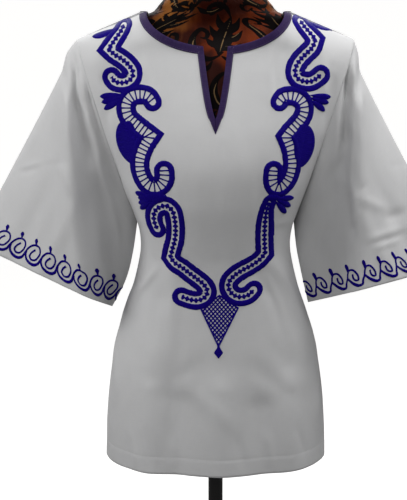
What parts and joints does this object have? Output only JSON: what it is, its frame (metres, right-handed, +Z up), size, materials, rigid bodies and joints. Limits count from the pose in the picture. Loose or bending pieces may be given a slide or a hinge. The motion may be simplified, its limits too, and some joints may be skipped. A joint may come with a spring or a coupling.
{
  "type": "dashiki top on a limbless dress form",
  "caption": "Women's dashiki tunic with wide bell sleeves, bound scoop neck with an open slit and embroidery, worn on a padded limbless dress form with a pole stand.",
  "frame": {"origin": "on the floor, at the centre of the base plate's underside, under the pole", "axes": "+Z up, the front faces -Y, +X is the viewer's right as seen from the front"},
  "size_m": [0.8145, 0.36, 1.5053],
  "materials": {
    "cotton": "pale grey starched cotton with a faint sheen",
    "binding": "dark purple woven binding",
    "embroidery": "royal blue machine embroidery thread",
    "form_cover": "rust damask cloth with black scrolls, stretched over padding",
    "stand_black": "glossy black enamel"
  },
  "bodies": {
    "root": {"front_panel": "cotton", "back_panel": "cotton", "sleeve_left": "cotton", "sleeve_right": "cotton", "neck_binding": "binding", "form_torso": "form_cover", "neck_cap": "stand_black", "pole": "stand_black", "form_flange": "stand_black", "base_collar": "stand_black", "base_plate": "stand_black"}
  },
  "joints": []
}
